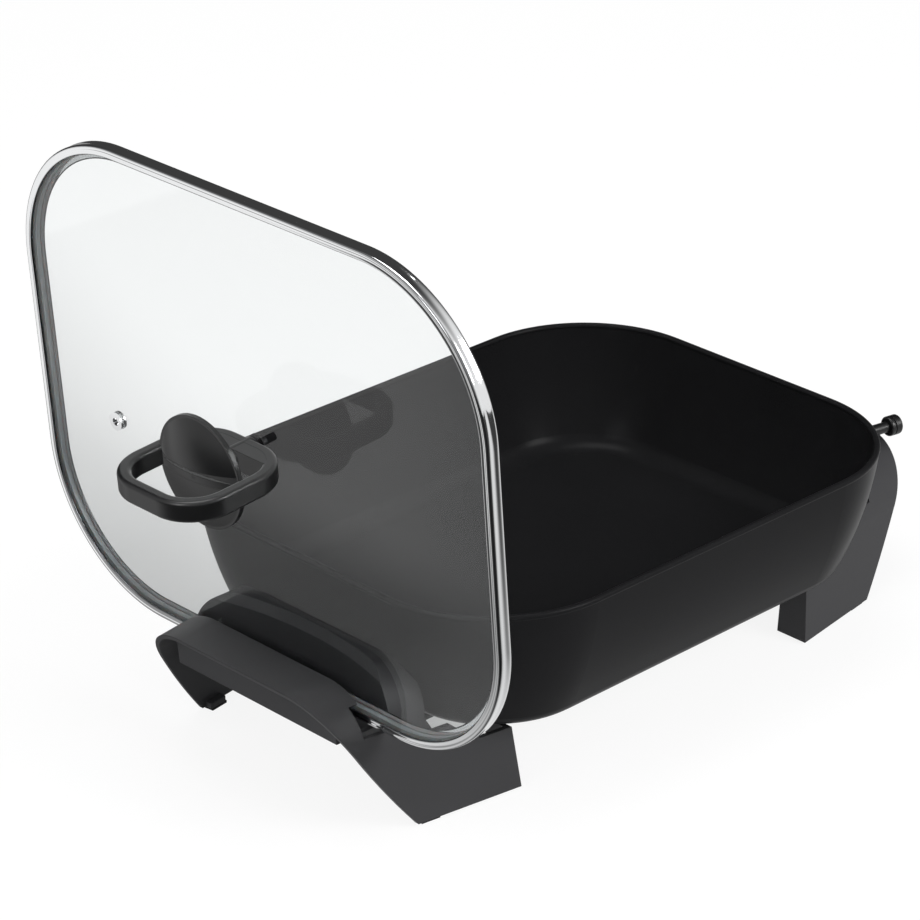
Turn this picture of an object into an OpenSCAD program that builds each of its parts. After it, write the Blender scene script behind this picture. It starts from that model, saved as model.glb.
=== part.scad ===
// Electric skillet: a rectangular coated pan on two handle units, with a lift-off glass lid
// parked upright in the slot of the left handle.
// X runs from handle to handle, Y across, Z up; the origin is on the table, halfway along the whole.
// Everything is drawn about the pan's middle and moved there at the end; each handle unit is drawn
// at the +X end and mirrored for the left one.

/* [Pan] */
// Length over the rim, handle to handle
pan_l = 380; // [360:1:400]
// Width over the rim
pan_w = 300; // [285:1:320]
// Corner radius of the rim in plan
pan_r = 84; // [74:1:92]
// Height of the rim above the table
rim_z = 135; // [130:1:142]
// Depth from the rim to the underside of the floor
pan_d = 85; // [80:1:88]
// Thickness of the side wall
wall_t = 3.5; // [2.5:0.5:5]
// Thickness of the cast floor
floor_t = 6; // [5:0.5:8]
// Radius of the bulge of the wall, seen from the side
wall_bulge_r = 240; // [200:5:320]
// Lean of the wall at the rim, in degrees
wall_lean = 6; // [4:0.5:8]
// Radius where the wall turns into the floor, outside
sole_r = 14; // [10:1:18]
// Radius where the wall turns into the floor, inside
floor_r = 14; // [10:1:18]

/* [Heating] */
// Length of the heat-spreading plate
spread_l = 270; // [240:1:280]
// Width of the heat-spreading plate
spread_w = 180; // [160:1:200]
// Corner radius of the heat-spreading plate
spread_r = 40; // [30:1:60]
// Thickness of the heat-spreading plate
spread_t = 2.5; // [1.5:0.5:4]
// Radius of the heating tube
tube_r = 3.3; // [3:0.1:4]
// Distance of the long runs of the tube from the middle line
run_y = 70; // [60:1:75]
// Bend radius of the tube beside its ends
end_bend_r = 20; // [16:1:22]
// Bend radius of the tube at its closed end
far_bend_r = 25; // [20:1:40]
// Distance of the closed end of the tube from the middle
far_x = 120; // [100:1:125]
// Distance of the cross runs beside the ends from the middle
near_x = 125; // [118:1:128]
// Distance of each terminal from the middle line
terminal_y = 13; // [12:0.5:14]
// Radius of a terminal pin
terminal_r = 2.4; // [2:0.1:3]
// Length of a terminal pin that is free for a plug
terminal_free = 26; // [18:1:28]
// Outer radius of the temperature sensor's tube
well_r = 4; // [3.8:0.1:5]
// Bore radius of the temperature sensor's tube
well_bore_r = 3.05; // [2.5:0.05:3.2]
// Length of the temperature sensor's tube
well_l = 90; // [70:1:100]
// Thickness of the ceramic terminal block
block_t = 4; // [3:0.5:6]

/* [Handle] */
// Distance of the leg's inner foot corner from the middle, along X
leg_x = 124.5; // [118:0.5:128]
// Distance of the leg's inner foot corner from the middle line, along Y
leg_y = 107; // [104:0.5:112]
// Turn of each leg plate towards the middle line in plan, in degrees
toe = 8.6; // [6:0.2:10]
// Lean of each leg plate towards the middle line, in degrees
lean = 5.2; // [3:0.2:6]
// Wall thickness of the handle moulding
strap_t = 3; // [2.5:0.25:3.5]
// Height of the top of the grip above the table
grip_z = 87.5; // [86:0.5:90]
// Width of the grip strap
grip_w = 31; // [28:1:36]
// Bend radius between the legs and the grip
grip_r = 38; // [30:1:40]
// Radius of the outward curve of the leg's outer edge
edge_r = 500; // [350:10:800]
// Reach of the leg's outer edge at its foot, short of the grip's outer edge
foot_in = 55; // [50:1:60]
// Height of the leg's inner end
leg_end_z = 41.2; // [40:0.2:42]
// Slope of the leg's inner end, across its height
leg_end_slope = 4; // [2:0.5:6]
// Depth of the wall that closes the leg's inner end
leg_end_d = 23; // [18:1:26]
// Distance of the leg's level top from its inner end
leg_level = 26; // [20:1:32]
// Length of the slope from the level top to the shelf beside the pan
leg_climb = 17.5; // [15:0.5:22]
// Height of the shelf beside the pan
shelf_z = 56.2; // [54:0.2:58]
// Length of the shelf beside the pan
shelf_l = 18; // [12:1:22]
// Length of the slope from the shelf to the lid notch
leg_rise = 14.5; // [10:0.5:16]
// Height of the lid notch in the leg plates
notch_z = 64.3; // [62:0.1:66]
// Height of the foot pads that shows below the legs
pad_z = 1.7; // [1:0.1:3]
// Length of a foot pad
pad_l = 13; // [10:1:16]
// Width of a foot pad
pad_w = 5; // [4.6:0.2:7]
// Height of the block inside the leg that the foot pad plugs into
pad_block_h = 3.5; // [3:0.25:6]

/* [Housing] */
// Height of the housing's flange against the pan
flange_z = 93; // [91:0.5:94]
// Height of the bevel along the flange's outer edge
bevel_h = 6; // [4:0.5:8]
// Depth of the bevel along the flange's outer edge
bevel_w = 3.5; // [2:0.25:3.75]
// Distance of the housing wall's middle from the pan's rim line
wall_out = 0; // [-1:0.5:1]
// Radius of the hollow curve of the housing wall in plan
hollow_r = 240; // [200:5:300]
// Half length of the housing across the pan
house_y = 84; // [80:1:85]
// Radius of the housing's arch at each end
arch_r = 30; // [24:1:34]
// Wall thickness of the housing
house_t = 3; // [2.5:0.25:3.5]
// Gap between the housing and the pan
pan_gap = 0.5; // [0.3:0.1:0.8]
// Height of the tray's underside
tray_z = 57; // [56:0.5:58]
// Half length of the tray and its skirt
tray_y = 68; // [62:1:70]
// Set-back of the skirt's foot from the grip's outer edge
skirt_in = 18.5; // [17:0.5:20]
// Lean of the skirt, across its height
skirt_lean = 3.5; // [2:0.5:5]
// Distance from the pan's rim line in to the inner ends of the housing's side walls
side_in = 12; // [10:0.5:16]
// Slant of those ends below the tray, across their height
side_slant = 38; // [30:1:42]
// Distance of the lid rests from the middle line
rest_y = 30; // [20:1:34]
// Thickness of the base cover
cover_t = 2.5; // [2:0.5:3]
// Half width of the base cover
cover_y = 80; // [76:1:80]
// Half width of the base cover's tongue under the pan
tongue_y = 55; // [53:1:57]

/* [Fixings] */
// Shank radius of every screw
screw_r = 1.6; // [1.2:0.1:2]
// Head radius of every screw
head_r = 3.2; // [2.8:0.1:3.6]
// Head height of every screw
head_h = 1.8; // [1.4:0.1:2.2]
// Radius of every screw boss
boss_r = 4.2; // [3.6:0.1:4.4]
// Distance of the pan studs from the middle
stud_x = 148; // [145:0.5:150]
// Distance of the studs and brackets from the middle line
stud_y = 45; // [42:1:48]
// Radius of a pan stud
stud_r = 6; // [5:0.5:7]
// Thickness of a heat-insulating washer
washer_t = 1.5; // [1:0.25:2]
// Thickness of a steel bracket
bracket_t = 2; // [1.5:0.25:2.5]
// Width of a steel bracket
bracket_w = 16; // [12:1:20]

/* [Plug guard and release lever] */
// Half width of the plug guard
guard_y = 26; // [22:0.5:28]
// Length of the plug guard
guard_l = 30; // [24:1:34]
// Wall thickness of the plug guard
guard_t = 2.5; // [2:0.25:3]
// Depth of the plug guard below the tray
guard_d = 27; // [25:0.5:29]
// Distance of the lever's pivot from the middle line
pivot_y = 54; // [52:0.5:56]
// Distance of the lever's pivot outside the pan's rim line
pivot_out = 13; // [12.5:0.25:14]
// Radius of the lever's shaft
shaft_r = 2.75; // [2.25:0.05:3]
// Radial running clearance of the shaft
run_fit = 0.05; // [0.02:0.01:0.08]
// Height of the tower that carries the shaft
tower_z = 90; // [88.5:0.5:92]
// Radius of the tower that carries the shaft
tower_r = 5.2; // [4.8:0.1:5.4]
// Radius of the lever's arm
arm_r = 3.6; // [3:0.1:3.8]
// Length of the lever's arm, from the pivot to the middle of the knob
arm_l = 51; // [46:1:54]
// Turn of the arm at rest, in degrees
arm_turn = -10.6; // [-14:0.2:-6]
// Radius of the lever's knob
knob_r = 6.5; // [5.5:0.1:6.8]
// Length of the lever's knob
knob_l = 9; // [7:0.5:11]
// Reach of the cam below the tray
cam_l = 20; // [16:1:22]

/* [Lid] */
// How far the lid stands out over the pan's rim all round
lid_over = 1; // [0.5:0.25:2]
// How much rounder the lid's corners are than the rim's
lid_round = 6; // [3:0.5:9]
// Depth of the steel rim
rim_d = 9.2; // [8.5:0.1:10]
// Width of the steel rim's flanges
rim_w = 6.5; // [5.5:0.25:8]
// Sheet thickness of the steel rim
rim_t = 0.9; // [0.7:0.1:1.2]
// Thickness of the glass
glass_t = 4; // [3.5:0.1:4.4]
// Lean of the parked lid away from the pan, in degrees
lid_lean = 4.3; // [3.5:0.1:5]
// Gap between the parked lid and what holds it
park_gap = 0.4; // [0.3:0.05:0.6]
// Height of the parked lid's lower edge above the tray
park_h = 8.4; // [8:0.1:9]
// Distance of the steam vent from the lid's middle, along its length
vent_x = 124; // [100:1:140]
// Distance of the steam vent below the lid's middle line
vent_v = 27; // [10:1:40]
// Radius of the steam vent's flange
vent_r = 5.5; // [4.5:0.5:7]
// Wall and flange thickness of the steam vent
vent_t = 1; // [0.8:0.1:1.4]
// Radius of the steam vent's hole
vent_hole_r = 2.4; // [1.6:0.2:3]

/* [Lid knob] */
// Half width of the knob's finger ring
ring_w = 39.5; // [36:0.5:42]
// Outer corner radius of the finger ring
ring_bend = 28; // [24:0.5:33]
// Radial thickness of the finger ring
ring_t = 8; // [7:0.25:9]
// Thickness of the ring's foot, beside the glass
ring_foot = 15.5; // [12:0.5:18]
// Height of the finger ring
ring_h = 13; // [11:0.2:14]
// Edge rounding of the finger ring
ring_edge = 2.4; // [1.5:0.1:2.8]
// How far the ring's middle lies below the disc's
ring_drop = 0.4; // [0:0.1:2]
// Radius of the disc inside the ring
disc_r = 34; // [32.5:0.5:35]
// Thickness of the disc's edge
disc_t = 3; // [2:0.25:4]
// Width of the flat border round the dome
border = 1.6; // [1:0.1:2.5]
// Rise of the domed face of the disc
disc_rise = 8.5; // [6:0.5:10]
// Height of the dome's lower lip above the disc's middle
lip_v = 5.5; // [3:0.5:8]
// Slope of the lip across the disc, in degrees
lip_turn = 3.5; // [0:0.5:6]
// Height of each recessed step below the lip
step_h = 4.5; // [3:0.5:6]
// Radius of the stem
stem_r = 6.2; // [6:0.1:7]
// Shank radius of the lid screw
lid_screw_r = 2.4; // [2:0.1:3]
// Outer radius of the brass insert
insert_r = 4; // [3.5:0.1:5]
// Length of the brass insert
insert_l = 18; // [14:1:22]
// Radius of the washers inside the lid
inner_washer_r = 6.5; // [6:0.1:7]

/* [Hidden] */

$fn = 96;
cut = 1;              // how far a cutting shape runs past the face it cuts
far = 400;            // long enough to pass the whole skillet
touch = 0.1;          // gap between parts that lie against each other under tension
seat = 0.2;           // gap between a round part and the flat part it lies on
screw_gap = 0.05;     // radial gap of a screw in its hole
lap = 4;              // how many degrees a bend runs on into the straight beside it
swell = 0.05;         // how far a bend stands proud of the straights beside it

black = "#1b1b1c";
charcoal = "#3a3b3d";
steel = "#c9cbcd";

// pan
sole_z = rim_z - pan_d;
floor_z = sole_z + floor_t;
lip_r = wall_t / 2 + 0.3;
wall_cq = pan_r - lip_r - (wall_bulge_r - wall_t / 2) * cos(wall_lean);
wall_cz = rim_z - lip_r + (wall_bulge_r - wall_t / 2) * sin(wall_lean);
core_x = pan_l / 2 - pan_r;
core_y = pan_w / 2 - pan_r;

// heating
plate_z = sole_z - spread_t;
tube_z = plate_z - seat - tube_r;
sensor_z = plate_z - seat - well_r;

// handle: the grip lies outside the parked lid, whose plane leans on the grip's inner edge
grip_out = pan_l / 2 + 61.5;
grip_in = grip_out - grip_w;
foot_x = grip_out - foot_in;
leg_top_x = leg_x + leg_end_slope;
shelf_x = leg_x + leg_level + leg_climb;
notch_x = grip_in + 6;
strap_under = grip_z - 2.5 * strap_t;
pad_x = foot_x - 3;
plug_r = 1.7;
pad_mid = strap_t + pad_w / 2 + 0.5;

// housing
hollow_x = pan_l / 2 + wall_out + hollow_r;
house_edge_x = hollow_x - sqrt(hollow_r * hollow_r - house_y * house_y);
skirt_x = grip_out - skirt_in;
cover_in = stud_x - 14;
house_in = pan_l / 2 - side_in;
side_low_x = house_in - side_slant;
rest_x = grip_in - 13.5;
boss_x = pan_l / 2 - 5.8;
cover_boss_y = stud_y + 21;
under_z = sensor_z - well_r - 1.2;
tray_top = tray_z + house_t;
arch_foot_z = 60;
tongue_x = side_low_x + side_slant * under_z / arch_foot_z - 1;
grip_boss_x = skirt_x - house_t - boss_r - touch;
grip_boss_y = stud_y;

// fixings under the pan
washer_z = sole_z - 2.5;
bracket_z = washer_z - washer_t - bracket_t;
bracket_out = boss_x + boss_r;

// plug guard and lever
guard_x = pan_l / 2 + 6;
block_x = guard_x - block_t;
well_x = guard_x + 16;
pivot_x = pan_l / 2 + pivot_out;
hub_z = tower_z + 0.3;
arm_z = tower_z + 0.9 + arm_r;
hub_h = 2 * (arm_z - hub_z);
cam_h = 4;
cam_z = tray_z - 5 - cam_h;
clip_z = tray_z - 1;
spring_r = 3.7;
wire_r = 0.5;

// lid: drawn face up about the middle of the rim's outer face, then stood up in the slot
lid_hx = pan_l / 2 + lid_over;
lid_hy = pan_w / 2 + lid_over;
lid_r = pan_r + lid_round;
glass_top = -rim_t - touch;
glass_low = glass_top - glass_t;
lid_low_z = tray_top + park_h;
lid_z = lid_low_z + lid_hy * cos(lid_lean);
lid_x = grip_in - park_gap + (lid_z - grip_z) * tan(lid_lean);
hole_fit = 0.2;

// knob: the ring's axis runs up the parked lid, the disc's axis out of the glass
base_z = glass_top + 1.2;
ring_z = base_z + ring_w + 0.7;
disc_z = ring_z - 4.6;
face_z = disc_z + disc_t;

// ends of the whole, from the pan's middle: the ring's outer side and the lever knob
left_end = lid_x + (ring_z + ring_w - ring_edge) * cos(lid_lean)
    + (ring_h / 2 - ring_drop - ring_edge) * sin(lid_lean) + ring_edge;
right_end = pivot_x + (arm_l + knob_l / 2 - 1.5) * cos(arm_turn) - (knob_r - 1.5) * sin(arm_turn) + 1.5;
shift_x = (left_end - right_end) / 2;

// ---- shared shapes -------------------------------------------------------------------------

// Places an end unit's part at the left (-1) or right (+1) end.
module at_end(side) {
    if (side < 0) mirror([1, 0, 0]) children();
    else children();
}

// Repeats a part on both sides of the middle line.
module both_y() {
    children();
    mirror([0, 1, 0]) children();
}

// Carries a section round a rounded rectangle; the section's x counts from the corner centre.
module ring_sweep(hx, hy, r) {
    for (turn = [0, 90, 180, 270]) {
        across = turn == 0 || turn == 180;
        dx = (turn == 0 || turn == 270 ? 1 : -1) * (hx - r);
        dy = (turn < 180 ? 1 : -1) * (hy - r);
        translate([dx, dy, 0]) rotate([0, 0, turn]) rotate_extrude(angle = 90) children();
        rotate([0, 0, turn]) translate([(across ? hx : hy) - r, 0, 0]) rotate([90, 0, 0])
            linear_extrude(2 * ((across ? hy : hx) - r), center = true) children();
    }
}

// Flat plate with rounded corners.
module slab(hx, hy, r, z, t) {
    translate([0, 0, z]) linear_extrude(t) {
        square([2 * hx, 2 * (hy - r)], center = true);
        square([2 * (hx - r), 2 * hy], center = true);
        for (sx = [-1, 1], sy = [-1, 1]) translate([sx * (hx - r), sy * (hy - r)]) circle(r);
    }
}

// Rectangle with rounded corners, from the origin's middle.
module soft_rect(w, h, r) {
    square([w, h - 2 * r], center = true);
    square([w - 2 * r, h], center = true);
    for (sx = [-1, 1], sy = [-1, 1]) translate([sx * (w / 2 - r), sy * (h / 2 - r)]) circle(r, $fn = 32);
}

// Slice of a circle between two angles, under half a turn.
module pie(r, from, to) {
    mid = (from + to) / 2;
    reach = 2 * r / cos((to - from) / 2);
    intersection() {
        circle(r, $fn = 360);
        polygon([[0, 0], [2 * r * cos(from), 2 * r * sin(from)], [reach * cos(mid), reach * sin(mid)],
            [2 * r * cos(to), 2 * r * sin(to)]]);
    }
}

// Ring or tube standing on z.
module tube(r_out, r_in, z, h) {
    translate([0, 0, z]) difference() {
        cylinder(r = r_out, h = h);
        translate([0, 0, -cut]) cylinder(r = r_in, h = h + 2 * cut);
    }
}

// Pan head screw standing on its head at z, with its shank going up.
module screw(z, length) {
    translate([0, 0, z]) cylinder(r = head_r, h = head_h, $fn = 48);
    translate([0, 0, z + head_h - touch]) cylinder(r = screw_r - screw_gap, h = length, $fn = 32);
}

// ---- pan -----------------------------------------------------------------------------------

// Region inside a bulged wall of radius wr that turns into a floor at height low by radius fr.
module bowl_half(wr, low, fr) {
    fz = low + fr;
    fq = wall_cq + sqrt(pow(wr - fr, 2) - pow(wall_cz - fz, 2));
    tangent = asin((wall_cz - fz) / (wr - fr));
    tq = wall_cq + wr * cos(tangent);
    tz = wall_cz - wr * sin(tangent);
    intersection() {
        translate([wall_cq, wall_cz]) circle(wr, $fn = 360);
        translate([0, tz]) square([far, wall_cz]);
    }
    translate([fq, fz]) pie(fr, -90, -tangent);
    polygon([[0, low], [fq, low], [fq, fz], [tq, tz], [0, tz]]);
}

// Everything above the line square to the wall at the rim.
module above_rim() {
    translate([wall_cq, wall_cz]) rotate(-wall_lean) square([far, far]);
}

module pan_section() {
    difference() {
        bowl_half(wall_bulge_r, sole_z, sole_r);
        bowl_half(wall_bulge_r - wall_t, floor_z, floor_r);
        above_rim();
        translate([-cut - far, 0]) square([far + cut, far]);
    }
    translate([wall_cq, wall_cz]) rotate(-wall_lean) translate([wall_bulge_r - wall_t / 2, 0]) circle(lip_r);
}

// The pan's outer form, grown by a gap, for shaping what hugs it.
module pan_envelope(gap) {
    ring_sweep(pan_l / 2, pan_w / 2, pan_r) difference() {
        bowl_half(wall_bulge_r + gap, sole_z - gap, sole_r);
        translate([-far, 0]) square([far, far]);
        translate([0, rim_z]) square([far, far]);
    }
    translate([-core_x, -core_y, sole_z - gap]) cube([2 * core_x, 2 * core_y, pan_d]);
}

module pan_stud() {
    tube(stud_r, screw_r, washer_z, sole_z - washer_z);
}

module pan() {
    color(black) {
        ring_sweep(pan_l / 2, pan_w / 2, pan_r) pan_section();
        translate([-core_x, -core_y, sole_z]) cube([2 * core_x, 2 * core_y, floor_t]);
        for (sx = [-1, 1], sy = [-1, 1]) translate([sx * stud_x, sy * stud_y, 0]) pan_stud();
    }
}

// ---- heating -------------------------------------------------------------------------------

module heat_plate() {
    color("silver") slab(spread_l / 2, spread_w / 2, spread_r, plate_z, spread_t);
}

// Straight run of the heating tube along X or Y.
module run_along_x(x0, x1, y) {
    translate([x0, y, tube_z]) rotate([0, 90, 0]) cylinder(r = tube_r, h = x1 - x0);
}

module run_along_y(x, y0, y1) {
    translate([x, y0, tube_z]) rotate([-90, 0, 0]) cylinder(r = tube_r, h = y1 - y0);
}

module tube_bend(x, y, r, turn) {
    translate([x, y, tube_z]) rotate([0, 0, turn]) rotate_extrude(angle = 90)
        translate([r, 0]) circle(tube_r);
}

module heating_element() {
    color("dimgray") both_y() {
        run_along_x(near_x + end_bend_r, block_x, terminal_y);
        tube_bend(near_x + end_bend_r, terminal_y + end_bend_r, end_bend_r, 180);
        run_along_y(near_x, terminal_y + end_bend_r, run_y - end_bend_r);
        tube_bend(near_x - end_bend_r, run_y - end_bend_r, end_bend_r, 0);
        run_along_x(far_bend_r - far_x, near_x - end_bend_r, run_y);
        tube_bend(far_bend_r - far_x, run_y - far_bend_r, far_bend_r, 90);
        run_along_y(-far_x, 0, run_y - far_bend_r);
    }
}

// Ceramic block that carries the terminals at the back of the plug guard.
module terminal_block() {
    half = guard_y - guard_t - touch;
    low = tray_z - guard_d + guard_t + touch;
    color("ivory") difference() {
        translate([block_x, -half, low]) cube([block_t, 2 * half, tray_z - touch - low]);
        for (y = [-terminal_y, terminal_y]) translate([block_x - cut, y, tube_z])
            rotate([0, 90, 0]) cylinder(r = terminal_r + 0.6 + screw_gap, h = block_t + 2 * cut);
        translate([block_x - cut, 0, sensor_z]) rotate([0, 90, 0])
            cylinder(r = well_r + screw_gap, h = block_t + 2 * cut);
    }
}

module terminal_pins() {
    color(steel) for (y = [-terminal_y, terminal_y]) translate([block_x, y, tube_z])
        rotate([0, 90, 0]) {
            cylinder(r = terminal_r, h = block_t + terminal_free);
            cylinder(r = terminal_r + 0.6, h = block_t);
        }
}

// Closed tube that guides the probe of the plug-in heat control under the pan's floor.
module sensor_tube() {
    color(steel) translate([well_x, 0, sensor_z]) rotate([0, -90, 0]) difference() {
        cylinder(r = well_r, h = well_l);
        translate([0, 0, -cut]) cylinder(r = well_bore_r, h = well_l - well_r + cut);
    }
}

// ---- handles -------------------------------------------------------------------------------

// Frame of the front leg plate: x outwards along it, y towards the middle line.
module leg_frame() {
    translate([leg_x, -leg_y, 0]) rotate([0, 0, toe]) children();
}

// Section of the space behind the leg plate and below the grip, inset by a wall.
module strap_region(inset) {
    r = grip_r - inset;
    cz = grip_z - grip_r;
    cw = cz * tan(lean) + grip_r / cos(lean);
    low = -cut - inset;
    polygon([[low * tan(lean) + inset / cos(lean), low], [cw - r * cos(lean), cz + r * sin(lean)],
        [cw, cz], [cw, cz + r], [far, cz + r], [far, low]]);
    translate([cw, cz]) pie(r + swell, 90 - lap, 180 - lean + lap);
}

// Outline of a handle seen from the front, with the curved outer edge of its legs. The lid's handle
// is cut back to let the parked lid pass, the plug's handle only as far as its housing reaches.
module handle_outline(side) {
    edge_x = side < 0 ? notch_x : house_edge_x + seat;
    edge_z = side < 0 ? strap_under : grip_z - 2 * strap_t;
    foot = [foot_x, pad_z];
    top = [grip_out, grip_z];
    chord = top - foot;
    half = norm(chord) / 2;
    inward = [-chord[1], chord[0]] / norm(chord);
    centre = (foot + top) / 2 + inward * sqrt(edge_r * edge_r - half * half);
    intersection() {
        polygon([[leg_x, pad_z], [leg_top_x, leg_end_z], [leg_x + leg_level, leg_end_z],
            [shelf_x, shelf_z], [shelf_x + shelf_l, shelf_z], [shelf_x + shelf_l + leg_rise, notch_z],
            [edge_x, notch_z], [edge_x, edge_z],
            [grip_in, edge_z], [grip_in, grip_z + cut], [grip_out + cut, grip_z + cut],
            [grip_out + cut, pad_z]]);
        translate(centre) circle(edge_r, $fn = 720);
    }
}

module front_view_cut() {
    rotate([90, 0, 0]) linear_extrude(2 * far, center = true) children();
}

module half_strap(side) {
    intersection() {
        leg_frame() rotate([90, 0, 90]) linear_extrude(grip_out)
            difference() {
                strap_region(0);
                strap_region(strap_t);
            }
        front_view_cut() handle_outline(side);
        translate([0, -far, 0]) cube([far, far, far]);
    }
}

// Wall that closes the inner end of a leg.
module leg_end() {
    intersection() {
        leg_frame() rotate([90, 0, 90]) translate([0, 0, -leg_end_d]) linear_extrude(far)
            intersection() {
                strap_region(0);
                square([leg_end_d, far]);
            }
        front_view_cut() polygon([[leg_x, pad_z], [leg_top_x, leg_end_z],
            [leg_top_x + strap_t, leg_end_z], [leg_x + strap_t, pad_z]]);
    }
}

// Block inside the leg that the foot pad plugs into.
module pad_block() {
    difference() {
        intersection() {
            leg_frame() rotate([90, 0, 90]) linear_extrude(grip_out) intersection() {
                strap_region(strap_t - touch);
                square([strap_t + pad_w, far]);
            }
            front_view_cut() translate([pad_x - pad_l, pad_z]) square([pad_l, pad_block_h]);
        }
        pad_place() cylinder(r = plug_r, h = pad_block_h - 1 + pad_z);
    }
}

module pad_place() {
    leg_frame() translate([(pad_x - pad_l / 2 - leg_x) / cos(toe), pad_mid, 0]) children();
}

module grip_boss() {
    translate([grip_boss_x, -grip_boss_y, 0])
        tube(boss_r, screw_r, tray_top, grip_z - strap_t / 2 - tray_top);
}

module handle(side) {
    color(charcoal) at_end(side) both_y() {
        half_strap(side);
        leg_end();
        pad_block();
        grip_boss();
    }
}

module left_handle() { handle(-1); }
module right_handle() { handle(1); }

module foot_pads() {
    color("#202020") for (side = [-1, 1]) at_end(side) both_y() pad_place() {
        translate([-pad_l / 2 + touch, strap_t / 2 - pad_mid, 0])
            cube([pad_l - 2 * touch, pad_w + strap_t / 2, pad_z]);
        cylinder(r = plug_r - screw_gap, h = pad_block_h - 1.5 + pad_z);
    }
}

// ---- housings ------------------------------------------------------------------------------

// Arch seen from the side: level top, rounded ends, straight down to the base cover.
module arch(half, top, r) {
    translate([-half, under_z]) square([2 * half, top - r - under_z]);
    translate([r - half, under_z]) square([2 * (half - r), top - under_z]);
    translate([half - r, top - r]) pie(r + swell, -lap, 90 + lap);
    translate([r - half, top - r]) pie(r + swell, 90 - lap, 180 + lap);
}

module arch_block(half, top, r) {
    translate([cover_in, 0, 0]) rotate([90, 0, 90]) linear_extrude(far) arch(half, top, r);
}

module housing_wall() {
    difference() {
        arch_block(house_y, flange_z, arch_r);
        translate([hollow_x, 0, 0]) cylinder(r = hollow_r, h = far, $fn = 360);
        flange_bevel();
        translate([hollow_x, -far / 2, 0]) cube([far, far, far]);
        housing_hollow();
        inner_half();
    }
}

// Cone that bevels the flange's outer edge; it starts a little below, inside the hollow.
module flange_bevel() {
    slope = bevel_w / bevel_h;
    translate([hollow_x, 0, flange_z - bevel_h - cut]) cylinder(r1 = hollow_r - slope * cut,
        r2 = hollow_r + slope * (bevel_h + cut), h = bevel_h + 2 * cut, $fn = 360);
}

module housing_hollow() {
    difference() {
        translate([0, 0, -cut]) arch_block(house_y - house_t, flange_z - house_t + cut, arch_r - house_t);
        translate([hollow_x, 0, 0]) cylinder(r = hollow_r + house_t, h = far, $fn = 360);
    }
}

// The part of the arch block that lies under the pan, with a slanted edge below the tray.
module inner_half() {
    front_view_cut() polygon([[0, 0], [side_low_x, 0], [house_in, arch_foot_z], [house_in, far], [0, far]]);
}

module tray() {
    tray_in = hollow_x - hollow_r - house_t / 2;
    difference() {
        union() {
            translate([tray_in, -tray_y, tray_z]) cube([skirt_x - house_t / 2 - tray_in, 2 * tray_y, house_t]);
            skirt();
            for (y = [-rest_y, rest_y]) translate([rest_x, y - house_t / 2, tray_top - touch])
                cube([skirt_x - rest_x, house_t, park_h + 1]);
        }
        translate([hollow_x, 0, 0]) difference() {
            cylinder(r = 3 * hollow_r, h = far);
            translate([0, 0, -cut]) cylinder(r = hollow_r + house_t / 2, h = far + 2 * cut, $fn = 360);
        }
        mirror([1, 0, 0]) on_lid() parked_rim();
        front_view_cut() polygon([[skirt_x, tray_z - cut], [skirt_x, tray_z],
            [skirt_x + skirt_lean, grip_z], [far, grip_z], [far, tray_z - cut]]);
        both_y() translate([grip_boss_x, -grip_boss_y, 0])
            cylinder(r = screw_r, h = tray_top + cut);
    }
}

module skirt() {
    top = grip_z - strap_t - touch;
    both_y() intersection() {
        rotate([90, 0, 0]) linear_extrude(tray_y)
            polygon([[skirt_x - house_t, tray_z], [skirt_x, tray_z], [skirt_x + skirt_lean, top],
                [skirt_x + skirt_lean - house_t, top]]);
        leg_frame() rotate([90, 0, 90]) linear_extrude(grip_out) strap_region(strap_t + seat);
    }
}

// The room that the parked lid's rim takes in a slot, with its gap.
module parked_rim() {
    translate([-lid_hx, -lid_hy - park_gap, -rim_d - park_gap])
        cube([2 * lid_hx, lid_hy, rim_d + 2 * park_gap]);
}

module housing_boss(y) {
    translate([boss_x, y, 0]) cylinder(r = boss_r, h = flange_z - house_t / 2);
}

module boss_hole(y) {
    translate([boss_x, y, 0]) cylinder(r = screw_r, h = tray_z + 6);
}

module boss_set() {
    both_y() {
        intersection() {
            housing_boss(-stud_y);
            translate([0, -far / 2, bracket_z + bracket_t]) cube([far, far, far]);
        }
        intersection() {
            housing_boss(-cover_boss_y);
            translate([cover_in, 0, under_z]) arch_block(house_y - house_t / 2,
                flange_z - under_z - house_t / 2, arch_r - house_t / 2);
            translate([0, -far / 2, under_z]) cube([far, far, arch_foot_z - under_z]);
        }
    }
}

module housing(side) {
    color(charcoal) at_end(side) difference() {
        union() {
            housing_wall();
            tray();
            boss_set();
            if (side > 0) lever_tower();
        }
        pan_envelope(pan_gap);
        both_y() {
            boss_hole(-stud_y);
            boss_hole(-cover_boss_y);
        }
        if (side > 0) {
            lever_bore();
            translate([0, -guard_y - touch, 0]) cube([block_x, 2 * (guard_y + touch), tray_z]);
        }
    }
}

module left_housing() { housing(-1); }
module right_housing() { housing(1); }

module base_cover(side) {
    color(charcoal) at_end(side) difference() {
        intersection() {
            translate([cover_in, -cover_y, under_z - cover_t])
                cube([far, 2 * cover_y, cover_t]);
            difference() {
                translate([0, -far / 2, 0]) cube([hollow_x, far, far]);
                translate([hollow_x, 0, 0]) cylinder(r = hollow_r, h = far, $fn = 360);
            }
        }
        both_y() {
            translate([boss_x, -cover_boss_y, 0]) cylinder(r = screw_r, h = under_z + cut);
            translate([0, tongue_y, 0]) cube([tongue_x, far, under_z + cut]);
        }
    }
}

module left_base_cover() { base_cover(-1); }
module right_base_cover() { base_cover(1); }

module brackets(side) {
    color("silver") at_end(side) both_y() difference() {
        translate([stud_x - stud_r, -stud_y - bracket_w / 2, bracket_z])
            cube([bracket_out - stud_x + stud_r, bracket_w, bracket_t]);
        for (x = [stud_x, boss_x]) translate([x, -stud_y, 0]) cylinder(r = screw_r, h = sole_z);
    }
}

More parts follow.
